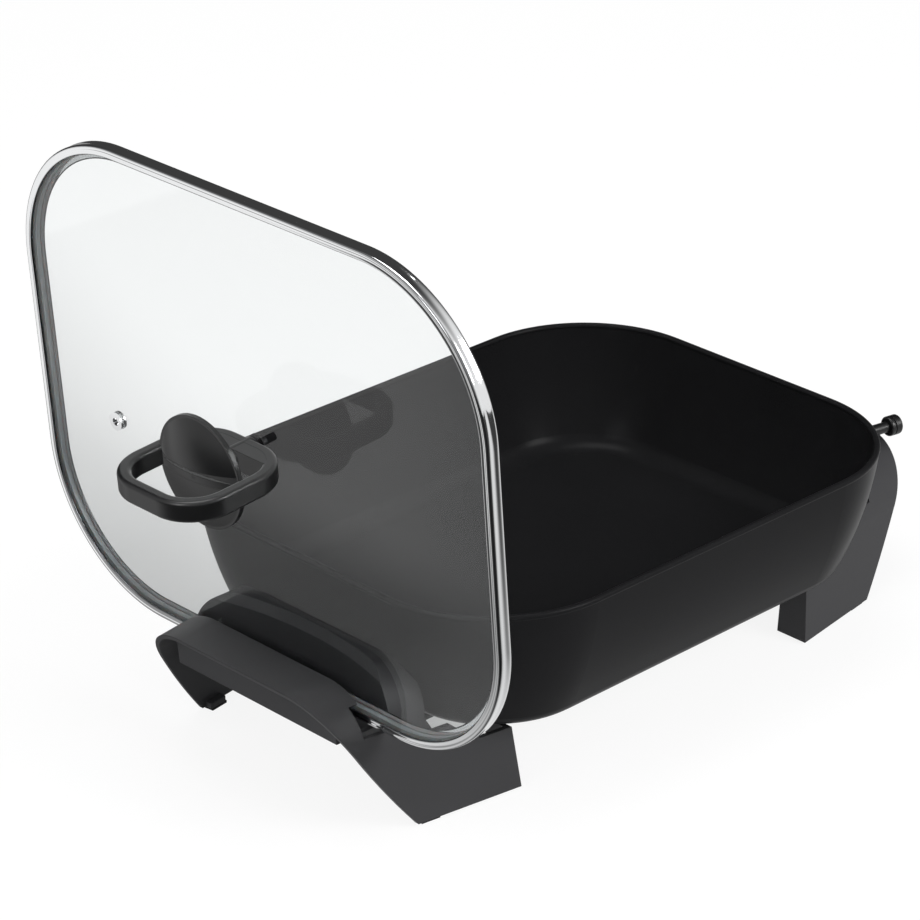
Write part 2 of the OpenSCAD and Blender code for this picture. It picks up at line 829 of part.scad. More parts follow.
module left_brackets() { brackets(-1); }
module right_brackets() { brackets(1); }

// ---- fixings -------------------------------------------------------------------------------

module each_stud() {
    for (sx = [-1, 1], sy = [-1, 1]) translate([sx * stud_x, sy * stud_y, 0]) children();
}

module insulating_washers() {
    color("tan") each_stud() tube(stud_r + 1, screw_r, washer_z - washer_t, washer_t);
}

module pan_screws() {
    color(steel) each_stud() screw(bracket_z - head_h, sole_z - bracket_z - 1);
}

module bracket_screws() {
    color(steel) for (side = [-1, 1]) at_end(side) both_y() translate([boss_x, -stud_y, 0])
        screw(bracket_z - head_h, 12);
}

module cover_screws() {
    color(steel) for (side = [-1, 1]) at_end(side) both_y() translate([boss_x, -cover_boss_y, 0])
        screw(under_z - cover_t - head_h, 12);
}

module handle_screws() {
    color(steel) for (side = [-1, 1]) at_end(side) both_y()
        translate([grip_boss_x, -grip_boss_y, 0]) screw(tray_z - head_h, 14);
}

// ---- plug guard and release lever ----------------------------------------------------------

module plug_guard() {
    color(charcoal) difference() {
        translate([block_x, -guard_y, tray_z - guard_d])
            cube([block_t + guard_l, 2 * guard_y, guard_d]);
        translate([block_x - cut, guard_t - guard_y, tray_z - guard_d + guard_t])
            cube([block_t + guard_l + 2 * cut, 2 * (guard_y - guard_t), guard_d]);
    }
}

module at_pivot() {
    translate([pivot_x, -pivot_y, 0]) children();
}

module lever_tower() {
    at_pivot() translate([0, 0, tray_z]) cylinder(r = tower_r, h = tower_z - tray_z);
}

module lever_bore() {
    at_pivot() cylinder(r = shaft_r + 1 + screw_gap, h = far);
}

// Plain bearing pressed into the tower.
module lever_bush() {
    color("#b08d57") at_pivot() tube(shaft_r + 1, shaft_r + run_fit, tray_z, tower_z - tray_z);
}

module along_arm() {
    at_pivot() translate([0, 0, arm_z]) rotate([0, 0, arm_turn]) rotate([0, 90, 0]) children();
}

module lever_arm() {
    color(black) {
        difference() {
            union() {
                at_pivot() translate([0, 0, hub_z]) cylinder(r = tower_r, h = hub_h);
                along_arm() cylinder(r = arm_r, h = arm_l - knob_l / 2 - touch);
            }
            at_pivot() cylinder(r = shaft_r + screw_gap, h = hub_z + hub_h - 1);
        }
        along_arm() translate([0, 0, arm_l - knob_l]) cylinder(r = arm_r / 2, h = knob_l);
    }
}

module lever_knob() {
    color(black) along_arm() translate([0, 0, arm_l - knob_l / 2]) difference() {
        rotate_extrude() {
            square([knob_r - 1.5, knob_l]);
            translate([0, 1.5]) square([knob_r, knob_l - 3]);
            for (z = [1.5, knob_l - 1.5]) translate([knob_r - 1.5, z]) circle(1.5, $fn = 32);
        }
        translate([0, 0, -cut]) cylinder(r = arm_r / 2 + screw_gap, h = knob_l / 2 + touch + cut);
        tube(knob_r + cut, knob_r - 0.8, knob_l / 3, 0.8);
    }
}

module lever_shaft() {
    color(steel) at_pivot() translate([0, 0, cam_z]) cylinder(r = shaft_r, h = hub_z + hub_h - 1 - cam_z);
}

// Finger that pushes the plug out of its guard.
module lever_cam() {
    color(charcoal) at_pivot() translate([0, 0, cam_z]) difference() {
        union() {
            cylinder(r = tower_r, h = cam_h);
            translate([-3, 0, 0]) cube([6, cam_l, cam_h]);
            translate([0, cam_l, 0]) cylinder(r = 3, h = cam_h);
        }
        translate([0, 0, -cut]) cylinder(r = shaft_r + screw_gap, h = cam_h + 2 * cut);
    }
}

module lever_clip() {
    color(steel) at_pivot() tube(shaft_r + 2.2, shaft_r + screw_gap, clip_z, 0.8);
}

// Return spring round the shaft, between the clip and the cam.
module lever_spring() {
    turns = 3;
    color(steel) at_pivot() translate([0, 0, cam_z + cam_h + seat]) {
        linear_extrude(clip_z - cam_z - cam_h - 2 * seat, twist = -360 * turns, slices = 24 * turns,
            $fn = 8) translate([spring_r, 0]) circle(wire_r);
    }
}

// ---- lid -----------------------------------------------------------------------------------

// Stands the lid up in the left slot: its face looks away from the pan.
module on_lid() {
    translate([-lid_x, 0, lid_z]) rotate([0, -lid_lean, 0]) rotate([90, 0, -90]) children();
}

module at_vent() {
    translate([-vent_x, -vent_v, 0]) children();
}

module lid_glass() {
    color("lightblue", 0.4) on_lid() difference() {
        slab(lid_hx - rim_t - touch, lid_hy - rim_t - touch, lid_r - rim_t - touch, glass_low, glass_t);
        translate([0, 0, -far / 2]) cylinder(r = lid_screw_r + hole_fit, h = far);
        at_vent() translate([0, 0, -far / 2]) cylinder(r = vent_hole_r + vent_t + hole_fit, h = far);
    }
}

module lid_rim() {
    color(steel) on_lid() ring_sweep(lid_hx, lid_hy, lid_r) {
        translate([lid_r - rim_w, -rim_t]) square([rim_w, rim_t]);
        translate([lid_r - rim_t, -rim_d]) square([rim_t, rim_d]);
        translate([lid_r - rim_w, -rim_d]) square([rim_w, rim_t]);
    }
}

module lid_seal() {
    low = rim_t + touch - rim_d;
    color("gray") on_lid() ring_sweep(lid_hx, lid_hy, lid_r)
        translate([lid_r - rim_w, low]) square([rim_w - rim_t - touch, glass_low - touch - low]);
}

module steam_vent() {
    color(steel) on_lid() at_vent() {
        tube(vent_r, vent_hole_r, glass_top, vent_t);
        tube(vent_hole_r + vent_t, vent_hole_r, glass_low - vent_t, glass_t + 1.5 * vent_t);
        tube(vent_r, vent_hole_r, glass_low - vent_t, vent_t);
    }
}

module knob_seal() {
    color("gray") on_lid() tube(stem_r, lid_screw_r + hole_fit, glass_top, base_z - glass_top);
}

// Finger ring: a soft-edged band on a rounded square, thicker beside the glass. Its axis runs up
// the parked lid.
module finger_ring(grow) {
    mid = ring_t / 2;
    translate([0, -ring_drop, ring_z]) rotate([90, 0, 0]) {
        ring_sweep(ring_w, ring_w, ring_bend) translate([ring_bend - mid, 0])
            soft_rect(ring_t + 2 * grow, ring_h + 2 * grow, ring_edge);
        intersection() {
            slab(ring_w - mid, ring_w - mid, ring_bend - mid, touch - ring_h / 2, ring_h - 2 * touch);
            translate([-far, -ring_w, -far]) cube([2 * far, ring_foot, 2 * far]);
        }
    }
}

module knob_body() {
    color(black) on_lid() difference() {
        union() {
            translate([0, 0, base_z]) cylinder(r = stem_r, h = disc_z - base_z);
            finger_ring(0);
        }
        translate([0, 0, base_z - cut]) cylinder(r = insert_r, h = insert_l + cut);
    }
}

// Strip of a shallow dome on the disc's face, between two heights.
module dome_strip(rise, low, high) {
    half = disc_r - border;
    dome_r = (half * half + rise * rise) / (2 * rise);
    intersection() {
        translate([0, 0, face_z + rise - dome_r]) sphere(dome_r, $fn = 180);
        rotate([0, 0, lip_turn]) translate([-far, low, face_z - touch]) cube([2 * far, high - low, far]);
    }
}

// Domed disc that stands across the ring; its edge is notched round the ring.
module knob_disc() {
    color(black) on_lid() difference() {
        union() {
            translate([0, 0, disc_z]) cylinder(r = disc_r, h = disc_t);
            dome_strip(disc_rise, lip_v, far);
            dome_strip(disc_rise / 3, lip_v - step_h, lip_v + touch);
            dome_strip(disc_rise / 1.6, lip_v - 2 * step_h, lip_v - step_h + touch);
            dome_strip(disc_rise / 2.4, -far, lip_v - 2 * step_h + touch);
        }
        finger_ring(touch);
    }
}

module knob_insert() {
    color("goldenrod") on_lid() tube(insert_r, lid_screw_r, base_z, insert_l);
}

module inner_seal() {
    color("gray") on_lid() tube(inner_washer_r, lid_screw_r + hole_fit, glass_low - 1, 1);
}

module inner_washer() {
    color(steel) on_lid() tube(inner_washer_r - 1, lid_screw_r + hole_fit, glass_low - 2, 1);
}

module lid_screw() {
    head = 2.4;
    color(steel) on_lid() {
        translate([0, 0, glass_low - 2 - head]) cylinder(r = 2 * lid_screw_r, h = head);
        translate([0, 0, glass_low - 2 - touch])
            cylinder(r = lid_screw_r - screw_gap, h = insert_l - 4 - glass_low + 2);
    }
}

// Moves the drawing so that the origin lies halfway along the whole.
module place() {
    translate([shift_x, 0, 0]) children();
}

place() pan();
place() heat_plate();
place() heating_element();
place() terminal_block();
place() terminal_pins();
place() sensor_tube();
place() left_handle();
place() right_handle();
place() left_housing();
place() right_housing();
place() left_base_cover();
place() right_base_cover();
place() left_brackets();
place() right_brackets();
place() insulating_washers();
place() pan_screws();
place() bracket_screws();
place() cover_screws();
place() handle_screws();
place() foot_pads();
place() plug_guard();
place() lever_bush();
place() lever_arm();
place() lever_knob();
place() lever_shaft();
place() lever_cam();
place() lever_clip();
place() lever_spring();
place() lid_glass();
place() lid_rim();
place() lid_seal();
place() steam_vent();
place() knob_seal();
place() knob_body();
place() knob_disc();
place() knob_insert();
place() inner_seal();
place() inner_washer();
place() lid_screw();
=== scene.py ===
import math
import bpy
import numpy as np
from mathutils import Matrix, Vector


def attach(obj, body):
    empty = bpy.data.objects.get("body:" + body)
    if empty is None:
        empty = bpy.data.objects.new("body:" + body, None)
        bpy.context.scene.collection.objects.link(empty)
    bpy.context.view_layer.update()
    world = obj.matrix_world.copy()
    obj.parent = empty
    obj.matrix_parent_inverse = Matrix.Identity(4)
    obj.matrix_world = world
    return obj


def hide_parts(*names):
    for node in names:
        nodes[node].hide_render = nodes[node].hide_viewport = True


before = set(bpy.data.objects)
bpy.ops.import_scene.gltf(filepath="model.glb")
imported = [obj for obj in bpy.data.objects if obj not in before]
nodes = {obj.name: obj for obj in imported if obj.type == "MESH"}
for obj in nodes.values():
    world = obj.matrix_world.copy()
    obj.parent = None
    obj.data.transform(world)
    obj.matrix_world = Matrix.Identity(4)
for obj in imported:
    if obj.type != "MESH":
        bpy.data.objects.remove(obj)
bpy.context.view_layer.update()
mm = 0.001
plainWhite = (1, 1, 1, 1)
print("frame loaded")


def linear(hexColour):
    # sRGB hex to linear RGBA: each channel above 0.04045 goes through the 2.4 power curve
    channels = [int(hexColour[i:i + 2], 16) / 255 for i in (1, 3, 5)]
    return [c / 12.92 if c <= 0.04045 else ((c + 0.055) / 1.055) ** 2.4 for c in channels] + [1.0]


def addNode(tree, kind, settings=None, links=None):
    # one shader node; settings name sockets or properties, links give the socket that feeds each input
    node = tree.nodes.new("ShaderNode" + kind)
    for name, value in (settings or {}).items():
        if isinstance(name, int) or name in node.inputs:
            node.inputs[name].default_value = value
        else:
            setattr(node, name, value)
    for name, source in (links or {}).items():
        tree.links.new(source, node.inputs[name])
    return node


def newMaterial(name):
    material = bpy.data.materials.new(name)
    material.use_nodes = True
    material.node_tree.nodes.clear()
    return material, material.node_tree


def finishMaterial(tree, surface):
    output = addNode(tree, "OutputMaterial")
    tree.links.new(surface, output.inputs["Surface"])


def paint(material, *names):
    for name in names:
        obj = nodes.get(name) or bpy.data.objects[name]
        obj.data.materials.clear()
        obj.data.materials.append(material)


cameraValues = {
    "place": (-1.4389, -1.4444, 1.1199),     # metres
    "azimuth": -44.53, "elevation": 26.38,   # degrees
    "lens": 147.79, "sensor": 36.0,          # mm
    "shift": (-0.0345, 0.0540),
    "reach": 20,                             # metres that it sees
}


def makeCamera(v):
    az, el = math.radians(v["azimuth"]), math.radians(v["elevation"])
    right = Vector((math.cos(az), math.sin(az), 0))
    back = Vector((math.sin(az) * math.cos(el), -math.cos(az) * math.cos(el), math.sin(el)))
    up = back.cross(right)
    data = bpy.data.cameras.new("camera")
    data.lens, data.sensor_width = v["lens"], v["sensor"]
    data.shift_x, data.shift_y = v["shift"]
    data.clip_end = v["reach"]
    obj = bpy.data.objects.new("camera", data)
    turn = Matrix((right, up, back)).transposed().to_4x4()
    obj.matrix_world = Matrix.Translation(v["place"]) @ turn
    bpy.context.scene.collection.objects.link(obj)
    bpy.context.scene.camera = obj


makeCamera(cameraValues)
print("camera placed")


# a pair holds the two ends of a fade; a line is a direction on the floor, and its fade is in metres
floorValues = {
    "size": 12.0, "hex": "#ececec",          # metres; white paper, as the lamps light it
    "shadowShare": 0.12,                     # how much of the lit paper the camera sees in its white
    # through the glass: more of the lit paper, and a painted shadow of the skillet that is dark below the
    # lid's end and fades out beyond it, and a little lighter from a far edge along y
    "veilShare": 0.45, "veilShadowTone": (0.34, 0.93),
    "veilLine": (1, -0.35, 0), "veilFade": (-0.21, 0.01),
    "farLight": 0.07, "farFade": (0.75, 0.76),
    # in shiny faces: white paper that runs out into the dark studio; close to the skillet a shade
    # sets in along x, light along the front and deep before the parked lid, as it changes along y
    "mirrorTone": (1.0, 0.06),
    "mirrorLine": (-1, -1, 0), "mirrorFade": (0.24, 0.58),
    "nearTone": (0.8, 0.3), "nearFadeX": (-0.41, -0.34), "nearFadeY": (-0.06, 0.05),
}


def makePaper(v):
    # nearly white to the camera, with a faint shadow; the glass and shiny faces show their own shade,
    # painted: a shadow grade through the glass, a shade near the skillet in shiny faces
    material, tree = newMaterial("whitePaper")
    path = addNode(tree, "LightPath")
    coords = addNode(tree, "TexCoord")
    place = addNode(tree, "SeparateXYZ", None, {0: coords.outputs["Object"]})
    matte = addNode(tree, "BsdfDiffuse", {"Color": linear(v["hex"])})
    white = addNode(tree, "Emission", {"Color": plainWhite, "Strength": 1.0})
    faint = addNode(tree, "MixShader", {0: v["shadowShare"]}, {1: white.outputs[0], 2: matte.outputs[0]})

    # the view through the glass, with a painted shadow of the skillet graded along a slanting line
    along = addNode(tree, "VectorMath", {"operation": "DOT_PRODUCT", 1: v["veilLine"]},
                    {0: coords.outputs["Object"]})
    tone = addNode(tree, "MapRange", {"interpolation_type": "SMOOTHSTEP",
                                      "From Min": v["veilFade"][0], "From Max": v["veilFade"][1],
                                      "To Min": v["veilShadowTone"][0], "To Max": v["veilShadowTone"][1]},
                   {"Value": along.outputs["Value"]})
    beyond = addNode(tree, "MapRange", {"From Min": v["farFade"][0], "From Max": v["farFade"][1],
                                        "To Max": v["farLight"]}, {"Value": place.outputs["Y"]})
    total = addNode(tree, "Math", {"operation": "ADD"}, {0: tone.outputs[0], 1: beyond.outputs[0]})
    paintedShadow = addNode(tree, "Emission", {"Color": plainWhite}, {"Strength": total.outputs[0]})
    veiled = addNode(tree, "MixShader", {0: v["veilShare"]}, {1: paintedShadow.outputs[0], 2: matte.outputs[0]})

    # the view in shiny faces
    towards = addNode(tree, "VectorMath", {"operation": "DOT_PRODUCT", 1: v["mirrorLine"]},
                      {0: coords.outputs["Object"]})
    fade = addNode(tree, "MapRange", {"interpolation_type": "SMOOTHSTEP",
                                      "From Min": v["mirrorFade"][0], "From Max": v["mirrorFade"][1],
                                      "To Min": v["mirrorTone"][0], "To Max": v["mirrorTone"][1]},
                   {"Value": towards.outputs["Value"]})
    shade = addNode(tree, "MapRange", {"From Min": v["nearFadeY"][0], "From Max": v["nearFadeY"][1],
                                       "To Min": v["nearTone"][0], "To Max": v["nearTone"][1]},
                    {"Value": place.outputs["Y"]})
    near = addNode(tree, "MapRange", {"interpolation_type": "SMOOTHSTEP",
                                      "From Min": v["nearFadeX"][0], "From Max": v["nearFadeX"][1],
                                      "To Min": 1.0},
                   {"Value": place.outputs["X"], "To Max": shade.outputs[0]})
    shaded = addNode(tree, "Math", {"operation": "MULTIPLY"}, {0: fade.outputs[0], 1: near.outputs[0]})
    mirrored = addNode(tree, "Emission", {"Color": plainWhite}, {"Strength": shaded.outputs[0]})

    seen = matte
    views = {"Is Glossy Ray": mirrored, "Is Transmission Ray": veiled, "Is Camera Ray": faint}
    for ray, look in views.items():
        seen = addNode(tree, "MixShader", None,
                       {0: path.outputs[ray], 1: seen.outputs[0], 2: look.outputs[0]})
    finishMaterial(tree, seen.outputs[0])
    return material


def makeFloor(v):
    half = v["size"] / 2
    mesh = bpy.data.meshes.new("floor")
    corners = [(-half, -half, 0), (half, -half, 0), (half, half, 0), (-half, half, 0)]
    mesh.from_pydata(corners, [], [(0, 1, 2, 3)])
    mesh.materials.append(makePaper(v))
    floor = bpy.data.objects.new("floor", mesh)
    bpy.context.scene.collection.objects.link(floor)


studioValues = {
    "tone": (0.9, 0.05),                                # light from the front, and from the far side
    "farSide": (0.66, 0.66, 0.36), "fade": (0.1, 0.8),  # its direction, and where it fades along that
}


def makeStudio(v):
    # bright in front and dark beyond the skillet; the camera and the glass see plain white
    world = bpy.data.worlds.new("studio")
    bpy.context.scene.world = world
    world.use_nodes = True
    tree = world.node_tree
    tree.nodes.clear()
    path = addNode(tree, "LightPath")
    seen = addNode(tree, "Math", {"operation": "MAXIMUM"},
                   {0: path.outputs["Is Camera Ray"], 1: path.outputs["Is Transmission Ray"]})
    coords = addNode(tree, "TexCoord")
    facing = addNode(tree, "VectorMath", {"operation": "DOT_PRODUCT", 1: v["farSide"]},
                     {0: coords.outputs["Generated"]})
    tone = addNode(tree, "MapRange", {"interpolation_type": "SMOOTHSTEP",
                                      "From Min": v["fade"][0], "From Max": v["fade"][1],
                                      "To Min": v["tone"][0], "To Max": v["tone"][1]},
                   {"Value": facing.outputs["Value"]})
    strength = addNode(tree, "Mix", {"data_type": "FLOAT", "B": 1.0},
                       {"Factor": seen.outputs[0], "A": tone.outputs[0]})
    glow = addNode(tree, "Background", {"Color": plainWhite}, {"Strength": strength.outputs[0]})
    output = addNode(tree, "OutputWorld")
    tree.links.new(glow.outputs[0], output.inputs["Surface"])


lampValues = {   # metres and watts
    "key": {"place": (0.9, -2.4, 1.7), "aim": (0, 0, 0.1), "size": 1.2, "power": 60},
    "side": {"place": (-2.6, -0.4, 1.5), "aim": (-0.1, 0, 0.15), "size": 0.9, "power": 25},
    "top": {"place": (-0.2, 0.3, 2.6), "aim": (0, 0, 0), "size": 1.4, "power": 34},
}


def makeLamps(v):
    for name, lamp in v.items():
        data = bpy.data.lights.new(name, "AREA")
        data.size, data.energy = lamp["size"], lamp["power"]
        obj = bpy.data.objects.new(name, data)
        obj.location = lamp["place"]
        aim = Vector(lamp["aim"]) - Vector(lamp["place"])
        obj.rotation_euler = aim.to_track_quat("-Z", "Y").to_euler()
        bpy.context.scene.collection.objects.link(obj)


makeFloor(floorValues)
makeStudio(studioValues)
makeLamps(lampValues)
bpy.context.scene.view_settings.view_transform = "Standard"
print("stage and lamps placed")


# shared by all the grained materials; "spread" is the range in which the summed noise mostly lies
noiseValues = {"grainDetail": 3.0, "grainRoughness": 0.55, "patchDetail": 2.0, "spread": (0.6, 1.4),
               "edgeSamples": 6}


def grained(name, v, noise=noiseValues):
    # fine grain gives bump and a little roughness; wide patches shift colour and roughness slowly
    material, tree = newMaterial(name)
    coords = addNode(tree, "TexCoord")
    place = addNode(tree, "Mapping", {"Scale": v.get("stretch", (1, 1, 1))},
                    {"Vector": coords.outputs["Object"]})
    grain = addNode(tree, "TexNoise", {"Scale": 1 / (v["grain"] * mm), "Detail": noise["grainDetail"],
                                       "Roughness": noise["grainRoughness"]}, {"Vector": place.outputs[0]})
    patch = addNode(tree, "TexNoise", {"Scale": 1 / (v["patch"] * mm), "Detail": noise["patchDetail"]},
                    {"Vector": coords.outputs["Object"]})
    colour = addNode(tree, "Mix", {"data_type": "RGBA", "A": linear(v["colours"][0]),
                                   "B": linear(v["colours"][1])}, {"Factor": patch.outputs["Fac"]})
    # painted shade: the colour darkens towards the given dark colour where the mesh's attribute marks the
    # rim's corners and rolled edges
    if "foldShade" in v:
        mark = addNode(tree, "Attribute", {"attribute_name": "foldShade"})
        colour = addNode(tree, "Mix", {"data_type": "RGBA", "B": linear(v["foldShade"])},
                         {"Factor": mark.outputs["Fac"], "A": colour.outputs["Result"]})
    mixed = addNode(tree, "Math", {"operation": "ADD"}, {0: patch.outputs["Fac"], 1: grain.outputs["Fac"]})
    rough = addNode(tree, "MapRange", {"From Min": noise["spread"][0], "From Max": noise["spread"][1],
                                       "To Min": v["rough"][0], "To Max": v["rough"][1]},
                    {"Value": mixed.outputs[0]})
    bump = addNode(tree, "Bump", {"Strength": v["bump"], "Distance": v["depth"] * mm},
                   {"Height": grain.outputs["Fac"]})
    if "edge" in v:
        edge = addNode(tree, "Bevel", {"samples": noise["edgeSamples"], "Radius": v["edge"] * mm})
        tree.links.new(edge.outputs[0], bump.inputs["Normal"])
    shader = addNode(tree, "BsdfPrincipled", {"Metallic": v.get("metallic", 0.0), "IOR": v.get("ior", 1.5),
                                              "Specular IOR Level": v.get("specular", 0.5),
                                              "Subsurface Weight": v.get("depthLight", 0.0)},
                     {"Base Color": colour.outputs["Result"], "Roughness": rough.outputs[0],
                      "Normal": bump.outputs[0]})
    finishMaterial(tree, shader.outputs[0])
    return material


# grain, patch, depth and edge are mm; "rough" runs from smooth to dull, "edge" rounds the edges' gloss
looks = {
    # satin black coating with a fine orange peel: near black, with soft broad highlights
    "nonStickCoating": {"colours": ("#141415", "#181819"), "rough": (0.26, 0.34), "grain": 0.7,
                        "patch": 90, "bump": 0.08, "depth": 0.05, "specular": 0.4, "ior": 1.13},
    # compression-moulded resin with a spark-eroded skin: dark grey, even, no clear reflections
    "mouldedPhenolic": {"colours": ("#2d2d2e", "#333335"), "rough": (0.42, 0.55), "grain": 0.45,
                        "patch": 60, "bump": 0.35, "depth": 0.06, "specular": 0.3, "ior": 1.4,
                        "edge": 0.8},
    # the same resin polished: black with narrow soft highlights along its edges
    "polishedPhenolic": {"colours": ("#0b0b0c", "#101011"), "rough": (0.28, 0.36), "grain": 0.5,
                         "patch": 30, "bump": 0.12, "depth": 0.04, "specular": 0.4, "edge": 0.6},
    # polished stainless sheet: clear stripes of the studio with a trace of roll lines
    "polishedSteel": {"colours": ("#e6e7e8", "#eff0f1"), "rough": (0.05, 0.11), "grain": 0.35,
                      "patch": 40, "bump": 0.03, "depth": 0.02, "metallic": 1.0},
    # the same sheet rolled into a channel, with painted shade in its corners and along its rolled edges
    "rimSteel": {"colours": ("#e6e7e8", "#eff0f1"), "rough": (0.05, 0.11), "grain": 0.35,
                 "patch": 40, "bump": 0.03, "depth": 0.02, "metallic": 1.0, "foldShade": "#58595b"},
    # steel blackened in an oil bath: near black with a dull metal sheen
    "blackenedSteel": {"colours": ("#1c1c1d", "#242425"), "rough": (0.35, 0.5), "grain": 0.4,
                       "patch": 5, "bump": 0.15, "depth": 0.03, "metallic": 1.0},
    # zinc-plated steel: grey, dull, slightly mottled
    "zincSteel": {"colours": ("#9a9da0", "#b9bcbf"), "rough": (0.28, 0.45), "grain": 0.6,
                  "patch": 6, "bump": 0.15, "depth": 0.03, "metallic": 1.0},
    # cold-rolled aluminium: lines along the rolling direction
    "rolledAluminium": {"colours": ("#b5b7b9", "#cacccd"), "rough": (0.25, 0.42), "grain": 0.8,
                        "patch": 25, "bump": 0.2, "depth": 0.03, "metallic": 1.0,
                        "stretch": (0.03, 1, 1)},
    # oxidised heater sheath: dark olive grey, blotched where it ran hot
    "oxidisedSheath": {"colours": ("#3b3833", "#5a554c"), "rough": (0.4, 0.6), "grain": 0.5,
                       "patch": 14, "bump": 0.3, "depth": 0.05, "metallic": 0.8},
    # steatite ceramic: warm white and dull, with a fine pitted skin
    "ceramic": {"colours": ("#d9d2c0", "#e4dfd0"), "rough": (0.5, 0.7), "grain": 0.4,
                "patch": 8, "bump": 0.3, "depth": 0.05},
    # pressed mica: flaky golden brown layers
    "pressedMica": {"colours": ("#8a7347", "#b59b68"), "rough": (0.3, 0.5), "grain": 1.2,
                    "patch": 3, "bump": 0.3, "depth": 0.05, "stretch": (1, 1, 0.2)},
    # turned brass: yellow, with a soft metal gloss
    "turnedBrass": {"colours": ("#b08d4a", "#c6a35f"), "rough": (0.2, 0.35), "grain": 0.3,
                    "patch": 5, "bump": 0.15, "depth": 0.03, "metallic": 1.0},
    # moulded rubber: dull black with a soft sheen
    "blackRubber": {"colours": ("#121213", "#1a1a1b"), "rough": (0.7, 0.85), "grain": 0.6,
                    "patch": 10, "bump": 0.4, "depth": 0.08, "specular": 0.3},
    # silicone lip: slightly translucent grey
    "silicone": {"colours": ("#6e7072", "#7d7f81"), "rough": (0.35, 0.5), "grain": 0.8,
                 "patch": 15, "bump": 0.15, "depth": 0.04, "depthLight": 0.2},
}
made = {name: grained(name, look) for name, look in looks.items()}

wears = {
    "nonStickCoating": ["pan"],
    "mouldedPhenolic": ["left_handle", "right_handle", "left_housing", "right_housing",
                        "left_base_cover", "right_base_cover", "plug_guard", "lever_cam"],
    "polishedPhenolic": ["lever_arm", "lever_knob", "knob_body", "knob_disc"],
    "polishedSteel": ["steam_vent", "terminal_pins"],
    "zincSteel": ["left_brackets", "right_brackets", "pan_screws", "bracket_screws", "cover_screws",
                  "handle_screws", "lever_shaft", "lever_clip", "lever_spring", "sensor_tube"],
    "rolledAluminium": ["heat_plate"],
    "oxidisedSheath": ["heating_element"],
    "ceramic": ["terminal_block"],
    "pressedMica": ["insulating_washers"],
    "turnedBrass": ["lever_bush", "knob_insert"],
    "blackRubber": ["foot_pads", "knob_seal", "inner_seal"],
    "silicone": ["lid_seal"],
    "blackenedSteel": ["inner_washer", "lid_screw"],
}
for look, names in wears.items():
    paint(made[look], *names)


glassValues = {
    "hex": "#f4f6f6",                                # a trace of grey green through the thickness
    "wave": 60, "waveDepth": 0.3,                    # mm: long waves of the tempering rollers
    "waveDetail": 1.0, "waveSpread": (0.35, 0.75), "bump": 0.02,
    "film": (0.002, 0.012), "ior": 1.38,
    "notMirrored": ("knob_body", "knob_disc", "knob_seal", "knob_insert"),
}


def makeGlass(v):
    # clear tempered glass; slow waves bend the reflections a little, and a faint film dulls them
    material, tree = newMaterial("temperedGlass")
    coords = addNode(tree, "TexCoord")
    wave = addNode(tree, "TexNoise", {"Scale": 1 / (v["wave"] * mm), "Detail": v["waveDetail"]},
                   {"Vector": coords.outputs["Object"]})
    film = addNode(tree, "MapRange", {"From Min": v["waveSpread"][0], "From Max": v["waveSpread"][1],
                                      "To Min": v["film"][0], "To Max": v["film"][1]},
                   {"Value": wave.outputs["Fac"]})
    bump = addNode(tree, "Bump", {"Strength": v["bump"], "Distance": v["waveDepth"] * mm},
                   {"Height": wave.outputs["Fac"]})
    shader = addNode(tree, "BsdfPrincipled", {"Base Color": linear(v["hex"]), "IOR": v["ior"],
                                              "Transmission Weight": 1.0},
                     {"Roughness": film.outputs[0], "Normal": bump.outputs[0]})
    finishMaterial(tree, shader.outputs[0])
    return material


paint(makeGlass(glassValues), "lid_glass")
for name in glassValues["notMirrored"]:
    nodes[name].visible_glossy = False   # the pane mirrors the studio and not its own knob
print("materials done")


rimValues = {
    "x": -204.262, "z": 218.975, "lean": 4.3,   # mm and degrees, middle of the rim's outer face
    "half": (191.0, 151.0), "radius": 90.0,     # mm, the rim's outline
    "depth": 9.2, "front": 5.6, "back": 10.0,   # mm, width over the sides and of the two flanges
    "corner": 1.6, "roll": 0.7, "sheet": 0.7,   # mm, radii and thickness
    "rollEnd": 200,                             # degrees, where the rolled edges stop
    "groove": 0.35, "hollow": 0.25,             # mm, sink of the front groove and of the side
    "creaseShadeWidth": 0.22,                        # share of a corner that its painted shade takes
    "rollShade": (1, 1, 1, 1, 1, 1, 0.5, 0.1),   # the painted shade's mark at each point of a rolled edge
    "bendPoints": 9,                            # points of a corner, and of a face with its ends
    "steps": 32,                                # steps round each of the outline's corners
}


def lidToWorld(v):
    # the lid is drawn face up about the middle of its rim, then stood up with its face to -X:
    # its x runs along -Y, its y up the leaning plane, its z out of its face
    lean = math.radians(v["lean"])
    up = (-math.sin(lean), 0, math.cos(lean))
    out = (-math.cos(lean), 0, -math.sin(lean))
    turn = Matrix(((0, -1, 0), up, out)).transposed().to_4x4()
    return Matrix.Translation((v["x"] * mm, 0, v["z"] * mm)) @ turn @ Matrix.Scale(mm, 4)


def arc(q, z, r, start, end, count):
    # points on a circle: centre (q, z) plus r * (cos t, sin t)
    t = np.radians(np.linspace(start, end, count))
    return np.stack([q + r * np.cos(t), z + r * np.sin(t)], 1)


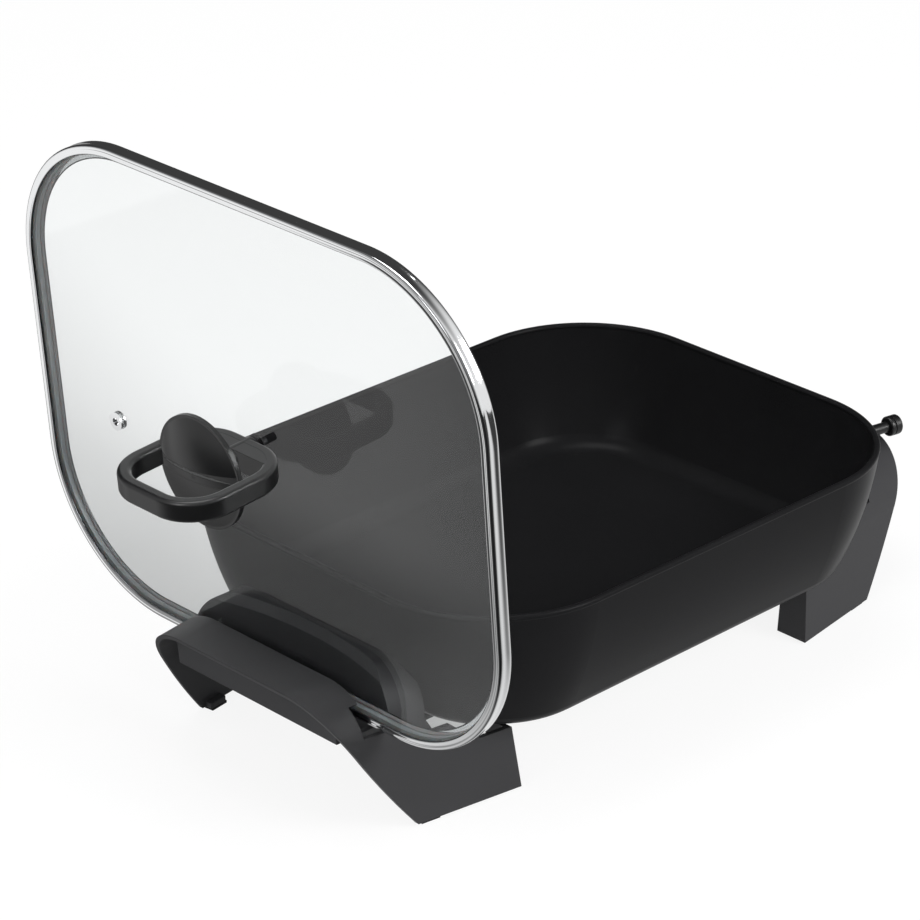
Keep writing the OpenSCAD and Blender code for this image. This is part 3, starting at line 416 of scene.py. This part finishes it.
def rimSection(v):
    # rolled edge, front flange with a groove, round corner, hollow side, round corner, rolled edge; groove
    # and hollow sink by sin squared over their length, and the mark of painted shade is a bell curve over
    # each corner and runs along the rolled edges, fading where they meet the flanges
    outer, inner, far = v["radius"], v["radius"] - v["front"], v["radius"] - v["back"]
    c, roll, low = v["corner"], v["roll"], -v["depth"]
    bend = np.linspace(0, 1, v["bendPoints"])
    t = bend[1:-1]
    creaseShade = np.exp(-((bend - 0.5) / v["creaseShadeWidth"]) ** 2)
    edge = v["rollShade"]
    foldShade = np.concatenate([edge, 0 * t, creaseShade, 0 * t, creaseShade, edge[::-1]])
    face = np.stack([inner + roll + t * (outer - c - inner - roll),
                     -v["groove"] * np.sin(np.pi * t) ** 2], 1)
    side = np.stack([outer - v["hollow"] * np.sin(np.pi * t) ** 2, -c + t * (low + 2 * c)], 1)
    section = np.concatenate([
        arc(inner + roll, -roll, roll, v["rollEnd"], 90, len(edge)), face,
        arc(outer - c, -c, c, 90, 0, v["bendPoints"]), side,
        arc(outer - c, low + c, c, 0, -90, v["bendPoints"]),
        arc(far + roll, low + roll, roll, -90, -v["rollEnd"], len(edge)),
    ])
    return section, foldShade


def sweepRing(name, section, foldShade, half, radius, place, steps):
    # carries the points (q, z) of a section round a rounded rectangle: at turn t the point lies q out from
    # the corner's centre, at centre + q * (cos t, sin t); the last argument marks the painted shade at
    # each point of the section, and is stored on the mesh
    corner = np.repeat(np.arange(4), steps + 1)
    turn = np.pi / 2 * (corner + np.tile(np.linspace(0, 1, steps + 1), 4))
    middle = np.pi / 2 * (corner + 0.5)
    centre = np.sign(np.stack([np.cos(middle), np.sin(middle)], 1)) * (np.array(half) - radius)
    outward = np.stack([np.cos(turn), np.sin(turn)], 1)
    flat = centre[:, None, :] + section[None, :, :1] * outward[:, None, :]
    depth = np.broadcast_to(section[None, :, 1:], flat.shape[:2] + (1,))
    points = np.concatenate([flat, depth, np.ones_like(depth)], 2).reshape(-1, 4) @ np.array(place).T
    rows, columns = len(turn), len(section)
    i, j = np.meshgrid(np.arange(rows), np.arange(columns - 1), indexing="ij")
    here, ahead = i * columns + j, (i + 1) % rows * columns + j
    faces = np.stack([here, here + 1, ahead + 1, ahead], 2)
    mesh = bpy.data.meshes.new(name)
    mesh.from_pydata(points[:, :3].tolist(), [], faces.reshape(-1, 4).tolist())
    mesh.polygons.foreach_set("use_smooth", np.ones(len(mesh.polygons), bool))
    mark = mesh.attributes.new("foldShade", "FLOAT", "POINT")
    mark.data.foreach_set("value", np.tile(foldShade, rows).astype("f"))
    obj = bpy.data.objects.new(name, mesh)
    bpy.context.scene.collection.objects.link(obj)
    return obj


def makeRim(v):
    section, foldShade = rimSection(v)
    rim = sweepRing("rolledRim", section, foldShade, v["half"], v["radius"], lidToWorld(v), v["steps"])
    sheet = rim.modifiers.new("sheet", "SOLIDIFY")
    sheet.thickness, sheet.offset = v["sheet"] * mm, -1
    paint(made["rimSteel"], rim.name)
    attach(rim, "lid")
    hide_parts("lid_rim")


makeRim(rimValues)
print("rim done")
